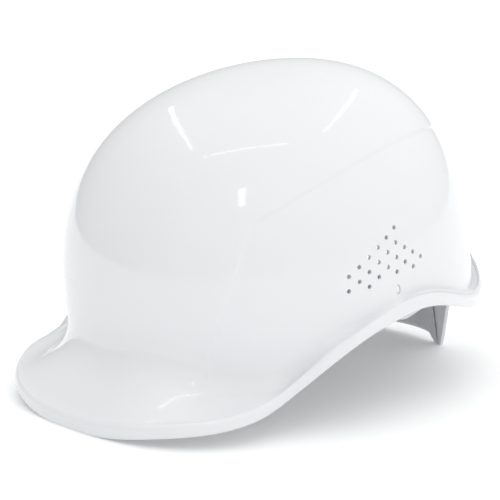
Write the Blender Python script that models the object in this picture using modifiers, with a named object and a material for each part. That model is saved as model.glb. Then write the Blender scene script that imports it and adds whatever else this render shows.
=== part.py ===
import math

import bmesh
import bpy
import numpy as np
from mathutils import Matrix, Vector

for old in list(bpy.data.objects):
    bpy.data.objects.remove(old, do_unlink=True)

# All sizes are in millimetres here, and are turned into metres where meshes are made.
metre = 0.001
gap = 0.3                      # between pieces that touch

# Pose: the cap rests on the tip of its bill and on the low nape strap.
rest_tilt_deg = 11.0
foot_flat = 0.5                # ground off the bill's lowest point

# Shell
dome_half_width = 98.7
dome_front = 115.6
dome_rear = 109.5
dome_height = 112.4            # above the base plane
dome_base = 22.0
dome_power = 2.7
crown_shift = 7.3
rim_flare = 3.0                # the rim stands out this far at the sides
bill_reach = 147.7
rear_flange = 4.0
bill_power = 2.6
rim_heights = (7.5, 10.6, 16.3, 33.9, 11.1, 8.0, 5.0)   # every 30 degrees from the front
lip_height = 6.0
lip_radius = 2.4
wall = 2.0
flange_drop = 2.5              # from the cove down to the lip's top
bill_drop = 19.5               # more of the same, at the front
cove_radius = 2.5
front_cove_radius = 9.0        # more of the same, ahead of the temples
temple_tuck = 9.5              # the rim draws in where the bill meets the dome's side
temple_dip = 6.2               # and dips there
temple_deg = 64.0
temple_lead_deg = 10.0         # the flange runs back to the dome square to the rim
panel_depth = 0.9              # the recessed side panels
shell_columns = 72
dome_rows = 14

# Vent holes and the stud hole under them
vent_radius = 1.1
vent_start = (-32.7, 57.5)     # y and z of the first hole
vent_step_up = (6.6, 2.82)
vent_step_down = (5.0, -4.3)
vent_rows = ((0, 5), (-1, 4), (0, 4), (2, 4), (3, 4))
stud_hole_width = 2.8
stud_hole_height = 5.0
stud_y = -5.7
stud_z = 41.2

# Headband
band_half_width = 79.5
band_front = 98.0
band_rear = 92.0
band_thickness = 1.6
band_end_deg = 148.0
band_height_marks = (
    (0, 14, 42),
    (45, 15, 42),
    (80, 20, 44),
    (105, 17, 43),
    (125, 16, 40),
    (180, 16, 40),
)
tab_width = 12.0
tab_thickness = 1.8
tab_shelf_z = 30.0
tab_top_z = 50.0
tab_slot_bottom_z = 33.2
stud_shank_radius = 1.4

# Hanger keys and the sockets that hold them
key_front_deg = 42.0
key_width = 14.0
key_thickness = 2.0
key_top_z = 62.5
key_bend_top_z = 39.5
key_bend_bottom_z = 35.5
key_bottom_z = 16.5
socket_low_z = 53.5
socket_high_z = 63.5
socket_width = 20.0
socket_cover = 1.5
socket_skew = 1.6               # the wall isn't square to the key
height_stud_z = 25.8
height_travel = 4.0
shank_radius = 2.0
head_radius = 4.0
head_thickness = 1.3

# Crown straps
strap_width = 19.0
strap_thickness = 1.2
strap_low_z = key_bend_top_z + 1.5   # clear of the key's bend
strap_bend_z = 48.5
strap_crown_z = 106.0
strap_lift = 2.1               # of the upper strap over the lower
strap_rivet_z = 44.2
rivet_radius = 1.6
rivet_head_radius = 3.4

# Brow pad
pad_half_deg = key_front_deg - 11  # clear of the front keys
pad_thickness = 4.0
pad_flap = 1.4

# Nape strap
nape_thickness = 1.8
nape_rear = 94.2
nape_pivot_y = 22.0
nape_pivot_z = 25.0
nape_travel = 10.0
nape_pad_half_width = 25.0
nape_pad_thickness = 1.7
nape_marks = (                 # distance from the middle, lower edge, upper edge
    (0, -39.8, -12),
    (10, -39.8, -12),
    (17, -40, -11),
    (20.5, -44.6, -10.4),
    (26, -44.6, -9),
    (28.7, -40.5, -8.2),
    (31.8, -34.5, -7),
    (34.7, -29, -5.6),
    (41.6, -18, -2),
    (45, -13.8, 0),
    (53, -7, 5.6),
    (58.5, -3, 9),
    (66, 3, 15),
    (70, 6.5, 20),
    (74, 11, 28),
    (77.5, 14.5, 34),
    (79.5, 15, 36),
)


def collection(name):
    made = bpy.data.collections.new(name)
    bpy.context.scene.collection.children.link(made)
    return made


parts = collection("bump_cap")
cutters = collection("cutters")
cutters.hide_render = True
cap_frame = bpy.data.objects.new("cap_frame", None)
parts.objects.link(cap_frame)


def material(name, color, roughness):
    made = bpy.data.materials.new(name)
    made.use_nodes = True
    shader = made.node_tree.nodes["Principled BSDF"]
    shader.inputs["Base Color"].default_value = (*color, 1)
    shader.inputs["Roughness"].default_value = roughness
    return made


def clean(mesh):
    edit = bmesh.new()
    edit.from_mesh(mesh)
    bmesh.ops.remove_doubles(edit, verts=edit.verts, dist=0.00001)
    bmesh.ops.recalc_face_normals(edit, faces=edit.faces)
    edit.to_mesh(mesh)
    edit.free()


def add(name, points, faces, origin=(0, 0, 0), shade=None, cutter=False):
    """One object from points in the cap's frame, with its origin at the given point."""
    mesh = bpy.data.meshes.new(name)
    start = Vector(origin) * metre
    mesh.from_pydata([Vector(p) * metre - start for p in points], [], faces)
    clean(mesh)
    made = bpy.data.objects.new(name, mesh)
    made.location = start
    made.parent = cap_frame
    if cutter:
        cutters.objects.link(made)
        made.hide_render = True
        made.display_type = "WIRE"
    else:
        parts.objects.link(made)
        look = material(name, *shade)
        mesh.materials.append(look)
    return made


def join(target, other, operation):
    step = target.modifiers.new(other.name, "BOOLEAN")
    step.object = other
    step.operation = operation
    step.solver = "EXACT"


def box_data(low, high):
    corners = [(x, y, z) for x in (low[0], high[0]) for y in (low[1], high[1]) for z in (low[2], high[2])]
    faces = [(0, 1, 3, 2), (4, 6, 7, 5), (0, 4, 5, 1), (2, 3, 7, 6), (0, 2, 6, 4), (1, 5, 7, 3)]
    return corners, faces


def loft(sections, closed=False):
    """Points and faces through rings of equal length, with flat ends unless it is closed."""
    count = len(sections[0])
    points = [p for ring in sections for p in ring]
    faces = []
    spans = len(sections) if closed else len(sections) - 1
    for i in range(spans):
        here = i * count
        there = ((i + 1) % len(sections)) * count
        for k in range(count):
            after = (k + 1) % count
            faces.append((here + k, here + after, there + after, there + k))
    if not closed:
        faces.append(tuple(range(count)))
        faces.append(tuple(range(len(points) - 1, len(points) - 1 - count, -1)))
    return points, faces


def turned(profile, start, direction, sides=12):
    """A round piece: profile holds (distance along the axis, radius), from one end to the other."""
    axis = Vector(direction).normalized()
    across = axis.orthogonal().normalized()
    up = axis.cross(across)
    rings = []
    for along, radius in profile:
        centre = Vector(start) + axis * along
        turns = [2 * math.pi * (k + 0.5) / sides for k in range(sides)]
        rings.append([centre + radius * (across * math.cos(a) + up * math.sin(a)) for a in turns])
    return loft(rings)


def merged(pieces):
    points = []
    faces = []
    for more_points, more_faces in pieces:
        start = len(points)
        points += more_points
        faces += [tuple(start + i for i in face) for face in more_faces]
    return points, faces


def smooth_step(value):
    value = min(max(value, 0.0), 1.0)
    return value * value * (3 - 2 * value)


def signed_power(value, power):
    return math.copysign(abs(value) ** power, value)


# Rim heights follow a cosine series through the marks.
mark_angles = np.linspace(0, math.pi, 7)
rim_series = np.linalg.solve(np.cos(np.outer(mark_angles, np.arange(7))), np.array(rim_heights))


def rim_height(turn):
    return float(np.cos(turn * np.arange(7)) @ rim_series)


def panel_mask(turn, height):
    """1 inside a recessed side panel, 0 outside it."""
    side = abs(math.degrees(math.atan2(math.sin(turn), math.cos(turn))))
    front = smooth_step((side - 28.1 - 0.238 * (height - 19)) / 4.5)
    back = smooth_step((160 - 0.1 * (97 - height) - side) / 6)
    top = smooth_step((107 - 14 * ((95 - side) / 48) ** 2 - height) / 7)
    return front * back * top


def dome_point(turn, height, inset=0.0):
    length = dome_front if math.cos(turn) > 0 else dome_rear
    rise = min(max(height - dome_base, 0.0), dome_height)
    scale = (1 - (rise / dome_height) ** dome_power) ** (1 / dome_power)
    shrink = 1 - (inset + panel_depth * panel_mask(turn, height)) / 100
    x = dome_half_width * math.sin(turn) * scale * shrink
    y = -length * math.cos(turn) * scale * shrink + (1 - scale) * crown_shift
    return Vector((x, y, height))


def rim_point(turn):
    power = 2 / bill_power if math.cos(turn) > 0 else 1.0
    length = bill_reach if math.cos(turn) > 0 else dome_rear + rear_flange
    side = abs(math.degrees(math.atan2(math.sin(turn), math.cos(turn))))
    temple = math.exp(-((side - temple_deg) / 10) ** 2)
    half_width = dome_half_width + rim_flare - temple_tuck * temple
    x = half_width * signed_power(math.sin(turn), power)
    y = -length * signed_power(math.cos(turn), power)
    return Vector((x, y, rim_height(turn) - temple_dip * temple))


def bent(a, corner, b, count):
    steps = [k / (count - 1) for k in range(count)]
    return [a * (1 - t) ** 2 + corner * 2 * t * (1 - t) + b * t * t for t in steps]


def shell_column(turn):
    """Points down the outer face from just under the crown to the lip's lower edge."""
    side = abs(math.degrees(math.atan2(math.sin(turn), math.cos(turn))))
    front = smooth_step((48 - side) / 40)
    lead = math.radians(temple_lead_deg) * math.exp(-((side - 62) / 18) ** 2)
    edge = rim_point(turn + math.copysign(lead, math.sin(turn)))
    crease = edge.z + flange_drop + bill_drop * front
    radius = cove_radius + front_cove_radius * smooth_step((78 - side) / 30)
    start_z = crease + radius
    share = max(start_z - dome_base, 0) / dome_height
    end_angle = math.acos(share ** (dome_power / 2))
    column = []
    for k in range(1, dome_rows):
        angle = end_angle * k / (dome_rows - 1)
        height = dome_base + dome_height * math.cos(angle) ** (2 / dome_power)
        if k == dome_rows - 1:
            height = start_z
        column.append(dome_point(turn, height))
    corner = dome_point(turn, crease)
    slope = (edge - corner).normalized()
    span = (edge - corner).length
    cove_end = corner + slope * min(radius, span / 2)
    lip_start = edge - slope * min(lip_radius, span / 2)
    column += bent(column[-1], corner, cove_end, 4)[1:]
    column += [cove_end.lerp(lip_start, t) for t in (0.34, 0.67)]
    column += bent(lip_start, edge, edge - Vector((0, 0, lip_radius)), 3)
    column.append(edge - Vector((0, 0, lip_height)))
    return column


def shell_surface():
    turns = [2 * math.pi * k / shell_columns for k in range(shell_columns)]
    columns = [shell_column(turn) for turn in turns]
    points = [Vector((0, crown_shift, dome_base + dome_height))]
    points += [p for column in columns for p in column]
    rows = len(columns[0])
    faces = []
    for i in range(shell_columns):
        here = 1 + i * rows
        there = 1 + ((i + 1) % shell_columns) * rows
        faces.append((0, here, there))
        for k in range(rows - 1):
            faces.append((here + k, here + k + 1, there + k + 1, there + k))
    return points, faces


def inner_radius(direction_deg, height):
    """Distance from the cap's upright axis to the shell's inner face."""
    angle = math.radians(direction_deg)
    length = dome_front if math.cos(angle) > 0 else dome_rear
    rise = max(height - dome_base, 0)
    scale = (1 - (rise / dome_height) ** dome_power) ** (1 / dome_power)
    outer = scale / math.hypot(math.sin(angle) / dome_half_width, math.cos(angle) / length)
    return outer - wall - panel_depth


def outward(direction_deg):
    angle = math.radians(direction_deg)
    return Vector((math.sin(angle), -math.cos(angle), 0))


def sideways(direction_deg):
    angle = math.radians(direction_deg)
    return Vector((math.cos(angle), math.sin(angle), 0))


white = ((0.86, 0.865, 0.87), 0.25)
soft_white = ((0.80, 0.81, 0.81), 0.45)
webbing = ((0.62, 0.63, 0.65), 0.8)
cloth = ((0.70, 0.71, 0.73), 0.9)

# Shell
shell_points, shell_faces = shell_surface()
shell = add("shell", shell_points, shell_faces, shade=white)
thick = shell.modifiers.new("wall", "SOLIDIFY")
thick.thickness = wall * metre
thick.offset = -1
thick.use_even_offset = True

# The row's frame: floor at the bill's foot, centred on the shell's length.
tilt = Matrix.Rotation(math.radians(rest_tilt_deg), 4, "X")
placed = [tilt @ p for p in shell_points]
floor_z = min(p.z for p in placed) + foot_flat
middle_y = (min(p.y for p in placed) + max(p.y for p in placed)) / 2
cap_frame.rotation_euler = (math.radians(rest_tilt_deg), 0, 0)
cap_frame.location = Vector((0, -middle_y, -floor_z)) * metre
floor_cut = add("floor_cut", *box_data((-160, -200, -60), (160, 200, 0)), cutter=True)
floor_cut.parent = None

core_turns = [2 * math.pi * k / 48 for k in range(48)]
core_rings = [[dome_point(t, z, inset=1.0) for t in core_turns] for z in (40, 46, 52, 57, 62, 68)]
core = add("dome_core", *loft(core_rings), cutter=True)

key_turns = {
    "front_left": key_front_deg,
    "front_right": -key_front_deg,
    "rear_left": 180 - key_front_deg,
    "rear_right": key_front_deg - 180,
}


def blade_radius(direction_deg):
    return inner_radius(direction_deg, socket_high_z) - key_thickness / 2 - gap - socket_skew


def slab(direction_deg, radii, half_width, heights):
    out = outward(direction_deg)
    side = sideways(direction_deg) * half_width
    ring = [out * radii[0] - side, out * radii[1] - side, out * radii[1] + side, out * radii[0] + side]
    return loft([[p + Vector((0, 0, z)) for p in ring] for z in heights])


for place, direction in key_turns.items():
    blade = blade_radius(direction)
    slot_depth = key_thickness / 2 + gap
    near = blade - slot_depth - socket_cover
    socket_data = slab(direction, (near, near + 20), socket_width / 2, (socket_low_z, socket_high_z))
    socket = add("socket_" + place, *socket_data, cutter=True)
    join(socket, core, "INTERSECT")
    join(shell, socket, "UNION")
    slot_radii = (blade - slot_depth, blade + slot_depth)
    slot_data = slab(direction, slot_radii, key_width / 2 + gap, (socket_low_z - 3, socket_high_z + 1))
    join(shell, add("slot_" + place, *slot_data, cutter=True), "DIFFERENCE")


def side_turn(y, height):
    """The turn at which the dome's left side reaches this y."""
    low, high = 0.3, math.pi - 0.3
    for _ in range(40):
        middle = (low + high) / 2
        if dome_point(middle, height).y < y:
            low = middle
        else:
            high = middle
    return (low + high) / 2


def side_normal(turn, height):
    along = dome_point(turn + 0.02, height) - dome_point(turn - 0.02, height)
    up = dome_point(turn, height + 2) - dome_point(turn, height - 2)
    return along.cross(up).normalized()


vents = []
for row, (first, last) in enumerate(vent_rows):
    for step in range(first, last + 1):
        y = vent_start[0] + step * vent_step_up[0] + row * vent_step_down[0]
        z = vent_start[1] + step * vent_step_up[1] + row * vent_step_down[1]
        turn = side_turn(y, z)
        centre = dome_point(turn, z)
        normal = side_normal(turn, z)
        for mirror in (1, -1):
            flip = Vector((mirror, 1, 1))
            profile = [(-6, vent_radius), (4, vent_radius)]
            vents.append(turned(profile, centre * flip, normal * flip, sides=8))
join(shell, add("vent_holes", *merged(vents), cutter=True), "DIFFERENCE")

ovals = []
for mirror in (1, -1):
    ring = []
    for k in range(16):
        angle = 2 * math.pi * k / 16
        y = stud_y + stud_hole_width / 2 * math.cos(angle)
        z = stud_z + stud_hole_height / 2 * math.sin(angle)
        ring.append((y, z))
    reach = (mirror * (dome_half_width - 12), mirror * (dome_half_width + 9))
    ovals.append(loft([[Vector((x, y, z)) for y, z in ring] for x in reach]))
join(shell, add("stud_holes", *merged(ovals), cutter=True), "DIFFERENCE")
join(shell, floor_cut, "DIFFERENCE")


# Headband
def oval_point(turn, offset, half_width=band_half_width, front=band_front, rear=band_rear):
    length = front if math.cos(turn) > 0 else rear
    normal = Vector((math.sin(turn) / half_width, -math.cos(turn) / length, 0)).normalized()
    return Vector((half_width * math.sin(turn), -length * math.cos(turn), 0)) + normal * offset


def oval_turn(direction_deg):
    """The oval's own turn where it crosses this direction from the cap's axis."""
    angle = math.radians(direction_deg)
    length = band_front if math.cos(angle) > 0 else band_rear
    return math.atan2(math.sin(angle) / band_half_width, math.cos(angle) / length)


def band_extent(direction_deg, offset, half_width):
    """Least and greatest distance of the band along this direction, over a piece this wide."""
    out = outward(direction_deg)
    side = sideways(direction_deg)
    middle = oval_turn(direction_deg)
    points = [oval_point(middle + 0.01 * k, offset) for k in range(-30, 31)]
    reach = [p.dot(out) for p in points if abs(p.dot(side)) <= half_width]
    return min(reach), max(reach)


def band_heights(turn):
    side = abs(math.degrees(turn))
    marks = band_height_marks
    low = float(np.interp(side, [m[0] for m in marks], [m[1] for m in marks]))
    high = float(np.interp(side, [m[0] for m in marks], [m[2] for m in marks]))
    return low, high


band_end = oval_turn(band_end_deg)
sections = []
band_steps = 64
for k in range(band_steps + 1):
    turn = -band_end + 2 * band_end * k / band_steps
    low, high = band_heights(turn)
    rounding = 0.0
    from_end = min(k, band_steps - k)
    if from_end < 3:
        rounding = (5.0, 1.6, 0.4)[from_end]
    inner = oval_point(turn, 0)
    outer = oval_point(turn, band_thickness)
    low_z = Vector((0, 0, low + rounding))
    high_z = Vector((0, 0, high - rounding))
    sections.append([inner + low_z, outer + low_z, outer + high_z, inner + high_z])
headband = add("headband", *loft(sections), shade=soft_white)

# Side tabs: a shelf out from the band, then a fork that clips up round the shell's stud.
tab_corner_y = stud_y - tab_width / 2
highest_tab_z = tab_top_z + height_travel
fork_outer = dome_point(side_turn(tab_corner_y, highest_tab_z), highest_tab_z).x - wall - gap - 0.1
fork_inner = fork_outer - tab_thickness
for mirror in (1, -1):
    name = "left" if mirror > 0 else "right"
    profile = [
        (band_half_width + 0.5, tab_shelf_z),
        (fork_outer, tab_shelf_z),
        (fork_outer, tab_top_z),
        (fork_inner, tab_top_z),
        (fork_inner, tab_shelf_z + tab_thickness),
        (band_half_width + 0.5, tab_shelf_z + tab_thickness),
    ]
    rings = [[Vector((mirror * x, y, z)) for x, z in profile]
             for y in (stud_y - tab_width / 2, stud_y + tab_width / 2)]
    tab = add("side_tab_" + name, *loft(rings), cutter=True)
    join(headband, tab, "UNION")
    half_slot = stud_shank_radius + gap
    ends = sorted((mirror * (fork_inner - 2), mirror * (fork_outer + 2)))
    slot_low = (ends[0], stud_y - half_slot, tab_slot_bottom_z)
    slot_high = (ends[1], stud_y + half_slot, tab_top_z + 4)
    join(headband, add("fork_slot_" + name, *box_data(slot_low, slot_high), cutter=True), "DIFFERENCE")

# Side studs, pressed into the shell from inside
for mirror in (1, -1):
    name = "left" if mirror > 0 else "right"
    inner_face = fork_inner - gap
    start = Vector((mirror * (inner_face - 1.4), stud_y, stud_z))
    shank_end = dome_point(side_turn(stud_y, stud_z), stud_z).x - wall - 0.1
    shank = shank_end - inner_face + 1.4
    profile = [(0, 3.2), (0.5, 4.0), (1.4, 4.0), (1.4, stud_shank_radius), (shank, stud_shank_radius)]
    points, faces = turned(profile, start, (mirror, 0, 0), sides=16)
    stud = add("side_stud_" + name, points, faces, shade=soft_white)
    rings = []
    plug_end = dome_point(side_turn(stud_y, stud_z), stud_z).x - 0.5
    for x in (shank_end - 0.6, plug_end):
        ring = []
        for k in range(16):
            angle = 2 * math.pi * k / 16
            y = stud_y + (stud_hole_width / 2 - gap) * math.cos(angle)
            z = stud_z + (stud_hole_height / 2 - gap) * math.sin(angle)
            ring.append(Vector((mirror * x, y, z)))
        rings.append(ring)
    join(stud, add("stud_plug_" + name, *loft(rings), cutter=True), "UNION")

# Hanger keys with their height slots, and the studs that ride in them
for place, direction in key_turns.items():
    out = outward(direction)
    side = sideways(direction)
    blade = blade_radius(direction)
    half = key_thickness / 2
    plate = band_extent(direction, band_thickness, key_width / 2)[1] + gap + half
    profile = [
        (blade - half, key_top_z),
        (blade - half, key_bend_top_z + 0.6),
        (plate - half, key_bend_bottom_z + 0.6),
        (plate - half, key_bottom_z),
        (plate + half, key_bottom_z),
        (plate + half, key_bend_bottom_z - 0.6),
        (blade + half, key_bend_top_z - 0.6),
        (blade + half, key_top_z),
    ]
    rings = []
    for along in (-key_width / 2, key_width / 2):
        rings.append([out * radius + side * along + Vector((0, 0, z)) for radius, z in profile])
    key = add("hanger_key_" + place, *loft(rings), shade=soft_white)
    ring = []
    slot_half = shank_radius + gap
    for k in range(16):
        angle = 2 * math.pi * (k + 0.5) / 16
        lift = height_travel if math.sin(angle) > 0 else -height_travel
        z = height_stud_z + lift + slot_half * math.sin(angle)
        ring.append(side * (slot_half * math.cos(angle)) + Vector((0, 0, z)))
    height_slot = loft([[p + out * (plate - 5) for p in ring], [p + out * (plate + 5) for p in ring]])
    join(key, add("height_slot_" + place, *height_slot, cutter=True), "DIFFERENCE")
    hole_radius = rivet_radius + gap
    rivet_hole = turned([(blade - 6, hole_radius), (blade + 6, hole_radius)], (0, 0, strap_rivet_z), out)
    join(key, add("key_rivet_hole_" + place, *rivet_hole, cutter=True), "DIFFERENCE")

    inner_head = band_extent(direction, 0, head_radius)[0] - gap
    outer_head = plate + half + gap
    profile = [
        (inner_head - head_thickness, head_radius - 0.6),
        (inner_head - head_thickness + 0.5, head_radius),
        (inner_head, head_radius),
        (inner_head, shank_radius),
        (outer_head, shank_radius),
        (outer_head, head_radius),
        (outer_head + head_thickness - 0.5, head_radius),
        (outer_head + head_thickness, head_radius - 0.6),
    ]
    add("height_stud_" + place, *turned(profile, (0, 0, height_stud_z), out), shade=soft_white)
    hole_radius = shank_radius + gap
    hole_ends = [(inner_head - 3, hole_radius), (outer_head + 3, hole_radius)]
    hole = turned(hole_ends, (0, 0, height_stud_z), out)
    join(headband, add("band_hole_" + place, *hole, cutter=True), "DIFFERENCE")


# Crown straps, from one key to the key opposite
def strap_path(blade, crown_z):
    start = blade - key_thickness / 2 - gap - strap_thickness / 2
    path = [(start, strap_low_z), (start, (strap_low_z + strap_bend_z) / 2), (start, strap_bend_z)]
    a = Vector((start, strap_bend_z))
    b = Vector((start - 20, strap_bend_z + 27))
    c = Vector((47, crown_z))
    d = Vector((0, crown_z))
    for k in range(1, 13):
        t = k / 12
        p = a * (1 - t) ** 3 + b * 3 * t * (1 - t) ** 2 + c * 3 * t * t * (1 - t) + d * t ** 3
        path.append((p.x, p.y))
    return path


strap_pairs = (
    ("front_left", "rear_right", strap_crown_z),
    ("front_right", "rear_left", strap_crown_z + strap_lift),
)
for front_place, rear_place, crown_z in strap_pairs:
    direction = key_turns[front_place]
    out = outward(direction)
    side = sideways(direction)
    front_half = strap_path(blade_radius(direction), crown_z)
    rear_half = strap_path(blade_radius(key_turns[rear_place]), crown_z)
    path = front_half + [(-r, z) for r, z in reversed(rear_half[:-1])]
    centre = [out * r + Vector((0, 0, z)) for r, z in path]
    rings = []
    for k, point in enumerate(centre):
        before = centre[max(k - 1, 0)]
        after = centre[min(k + 1, len(centre) - 1)]
        normal = side.cross((after - before).normalized()) * (strap_thickness / 2)
        across = side * (strap_width / 2)
        left = point - across
        right = point + across
        rings.append([left - normal, right - normal, right + normal, left + normal])
    strap = add("crown_strap_" + front_place, *loft(rings), shade=webbing)
    hole_radius = rivet_radius + gap
    holes = [turned([(crown_z - 4, hole_radius), (crown_z + 4, hole_radius)], (0, 0, 0), (0, 0, 1))]
    for place in (front_place, rear_place):
        way = outward(key_turns[place])
        blade = blade_radius(key_turns[place])
        profile = [(blade - 6, hole_radius), (blade + 1, hole_radius)]
        holes.append(turned(profile, (0, 0, strap_rivet_z), way))
    join(strap, add("strap_holes_" + front_place, *merged(holes), cutter=True), "DIFFERENCE")


def rivet_profile(low, high):
    return [
        (low - 1.0, rivet_head_radius - 0.7),
        (low - 0.5, rivet_head_radius),
        (low, rivet_head_radius),
        (low, rivet_radius),
        (high, rivet_radius),
        (high, rivet_head_radius),
        (high + 0.5, rivet_head_radius),
        (high + 1.0, rivet_head_radius - 0.7),
    ]


for place, direction in key_turns.items():
    blade = blade_radius(direction)
    low = blade - key_thickness / 2 - gap - strap_thickness - gap
    high = blade + key_thickness / 2 + gap
    rivet_data = turned(rivet_profile(low, high), (0, 0, strap_rivet_z), outward(direction))
    add("strap_rivet_" + place, *rivet_data, shade=soft_white)
crown_low = strap_crown_z - strap_thickness / 2 - gap
crown_high = strap_crown_z + strap_lift + strap_thickness / 2 + gap
add("crown_rivet", *turned(rivet_profile(crown_low, crown_high), (0, 0, 0), (0, 0, 1)), shade=soft_white)

# Brow pad, folded up over the band's lower edge
sections = []
pad_end = oval_turn(pad_half_deg)
for k in range(25):
    turn = -pad_end + 2 * pad_end * k / 24
    low, high = band_heights(turn)
    taper = 1 - 0.55 * max(0.0, abs(k - 12) / 12 - 0.8) / 0.2
    base = low - gap
    outline = [
        (-gap - pad_thickness * taper, base - pad_flap),
        (band_thickness + gap + pad_flap, base - pad_flap),
        (band_thickness + gap + pad_flap, high - 12),
        (band_thickness + gap, high - 12),
        (band_thickness + gap, base),
        (-gap, base),
        (-gap, high + 1),
        (-gap - pad_thickness * taper, high - 0.5),
    ]
    sections.append([oval_point(turn, offset) + Vector((0, 0, z)) for offset, z in outline])
add("brow_pad", *loft(sections), shade=cloth)

# Nape strap: outside the band's ends, then low across the nape
nape_half_width = band_half_width + band_thickness + gap


def nape_turn_at(x):
    return math.pi - math.asin(min(x / nape_half_width, 1))


nape_start = math.pi / 2 + math.asin(4.6 / nape_rear)
nape_turns = [nape_start, nape_start + 0.03, nape_start + 0.07]
nape_turns += [nape_start + 0.14 + 0.075 * k for k in range(8)]
nape_turns = [t for t in nape_turns if t < nape_turn_at(62)]
nape_steps = (62, 57.5, 53, 49, 45, 41.6, 38, 34.7, 31.8, 28.7, 26, 23, 20.5, 17, 13.5, 10, 5, 0)
nape_turns += [nape_turn_at(x) for x in nape_steps]
nape_turns += [2 * math.pi - t for t in reversed(nape_turns[:-1])]


def nape_point(turn, offset):
    return oval_point(turn, offset, nape_half_width, band_front, nape_rear)


def nape_heights(turn):
    reach = abs(nape_point(turn, 0).x)
    low = float(np.interp(reach, [m[0] for m in nape_marks], [m[1] for m in nape_marks]))
    high = float(np.interp(reach, [m[0] for m in nape_marks], [m[2] for m in nape_marks]))
    return low, high


sections = []
for k, turn in enumerate(nape_turns):
    from_end = min(k, len(nape_turns) - 1 - k)
    rounding = (4.5, 1.4, 0.3)[from_end] if from_end < 3 else 0.0
    low_z, high_z = nape_heights(turn)
    low = Vector((0, 0, low_z + rounding))
    high = Vector((0, 0, high_z - rounding))
    inner = nape_point(turn, 0)
    outer = nape_point(turn, nape_thickness)
    sections.append([inner + low, outer + low, outer + high, inner + high])
pivot = (0, nape_pivot_y, nape_pivot_z)
nape_strap = add("nape_strap", *loft(sections), origin=pivot, shade=soft_white)
slots = []
for mirror in (1, -1):
    ring = []
    for k in range(16):
        angle = 2 * math.pi * (k + 0.5) / 16
        travel = nape_travel if math.cos(angle) < 0 else 0
        y = nape_pivot_y - travel + (shank_radius + gap) * math.cos(angle)
        ring.append((y, nape_pivot_z + (shank_radius + gap) * math.sin(angle)))
    slots.append(loft([[Vector((x, y, z)) for y, z in ring] for x in (mirror * 70, mirror * 92)]))
join(nape_strap, add("nape_slots", *merged(slots), cutter=True), "DIFFERENCE")
join(nape_strap, floor_cut, "DIFFERENCE")

# Pivot studs through the band and the nape strap's slots
band_at_pivot = band_half_width * math.sqrt(1 - (nape_pivot_y / band_rear) ** 2)
holes = []
for mirror in (1, -1):
    name = "left" if mirror > 0 else "right"
    inner_head = band_at_pivot - 1.1 - gap
    outer_head = band_at_pivot + band_thickness + nape_thickness + 3.4
    profile = [
        (inner_head - head_thickness, head_radius - 0.6),
        (inner_head - head_thickness + 0.5, head_radius),
        (inner_head, head_radius),
        (inner_head, shank_radius),
        (outer_head, shank_radius),
        (outer_head, head_radius),
        (outer_head + head_thickness - 0.5, head_radius),
        (outer_head + head_thickness, head_radius - 0.6),
    ]
    data = turned(profile, (0, nape_pivot_y, nape_pivot_z), (mirror, 0, 0))
    add("nape_stud_" + name, *data, origin=pivot, shade=soft_white)
    hole_ends = [(band_at_pivot - 6, shank_radius + gap), (band_at_pivot + 5, shank_radius + gap)]
    holes.append(turned(hole_ends, (0, nape_pivot_y, nape_pivot_z), (mirror, 0, 0)))
join(headband, add("pivot_holes", *merged(holes), cutter=True), "DIFFERENCE")

# Nape pad, on the strap's inner face
sections = []
pad_turn = math.asin(nape_pad_half_width / nape_half_width)
for k in range(13):
    turn = math.pi - pad_turn + 2 * pad_turn * k / 12
    low_z, high_z = nape_heights(turn)
    low = Vector((0, 0, max(low_z + 1.2, -43)))
    high = Vector((0, 0, high_z - 1.0))
    inner = nape_point(turn, -gap - nape_pad_thickness)
    outer = nape_point(turn, -gap)
    sections.append([inner + low, outer + low, outer + high, inner + high])
add("nape_pad", *loft(sections), origin=pivot, shade=cloth)

bpy.context.view_layer.update()
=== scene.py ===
import math

import bmesh
import bpy
import numpy as np
from mathutils import Matrix, Vector


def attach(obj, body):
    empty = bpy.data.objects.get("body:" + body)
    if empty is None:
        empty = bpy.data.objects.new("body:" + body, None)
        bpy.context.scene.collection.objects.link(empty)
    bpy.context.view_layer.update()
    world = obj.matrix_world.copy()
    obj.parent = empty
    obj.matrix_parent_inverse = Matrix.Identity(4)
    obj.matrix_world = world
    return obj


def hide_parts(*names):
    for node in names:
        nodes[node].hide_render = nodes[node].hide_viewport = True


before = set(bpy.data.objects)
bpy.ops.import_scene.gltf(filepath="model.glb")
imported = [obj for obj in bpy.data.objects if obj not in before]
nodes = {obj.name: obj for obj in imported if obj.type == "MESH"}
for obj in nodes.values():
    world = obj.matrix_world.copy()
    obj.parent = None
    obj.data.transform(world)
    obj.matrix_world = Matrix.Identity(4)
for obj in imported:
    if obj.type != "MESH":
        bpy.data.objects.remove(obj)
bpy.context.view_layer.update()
print("frame loaded:", len(nodes), "nodes")

# The cap is worked out in its own upright frame, in millimetres: -Y is the front, +X its left.
# This then sets it down nose first, on its bill and its nape strap, in metres.
rest = {"tiltDegrees": 11.0, "shift": (0.0, 17.177, 26.210), "gap": 0.3}
tipForward = Matrix.Rotation(math.radians(rest["tiltDegrees"]), 4, "X")
capToRow = Matrix.Translation(Vector(rest["shift"])) @ tipForward
mm = 0.001


def toRow(point):
    return (capToRow @ Vector(point)) * mm


def linearColor(hexText):  # sRGB hex to the linear colour that shaders take
    values = [int(hexText[i:i + 2], 16) / 255 for i in (1, 3, 5)]
    return tuple(v / 12.92 if v <= 0.04045 else ((v + 0.055) / 1.055) ** 2.4 for v in values) + (1.0,)


def addNode(tree, kind, sockets=None, links=None, **settings):
    node = tree.nodes.new(kind)
    for key, value in settings.items():
        setattr(node, key, value)
    for key, value in (sockets or {}).items():
        node.inputs[key].default_value = value
    for key, source in (links or {}).items():
        tree.links.new(source, node.inputs[key])
    return node


def newMaterial(name, sockets):
    made = bpy.data.materials.new(name)
    made.use_nodes = True
    shader = made.node_tree.nodes["Principled BSDF"]
    for key, value in sockets.items():
        shader.inputs[key].default_value = value
    return made, made.node_tree, shader


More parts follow.
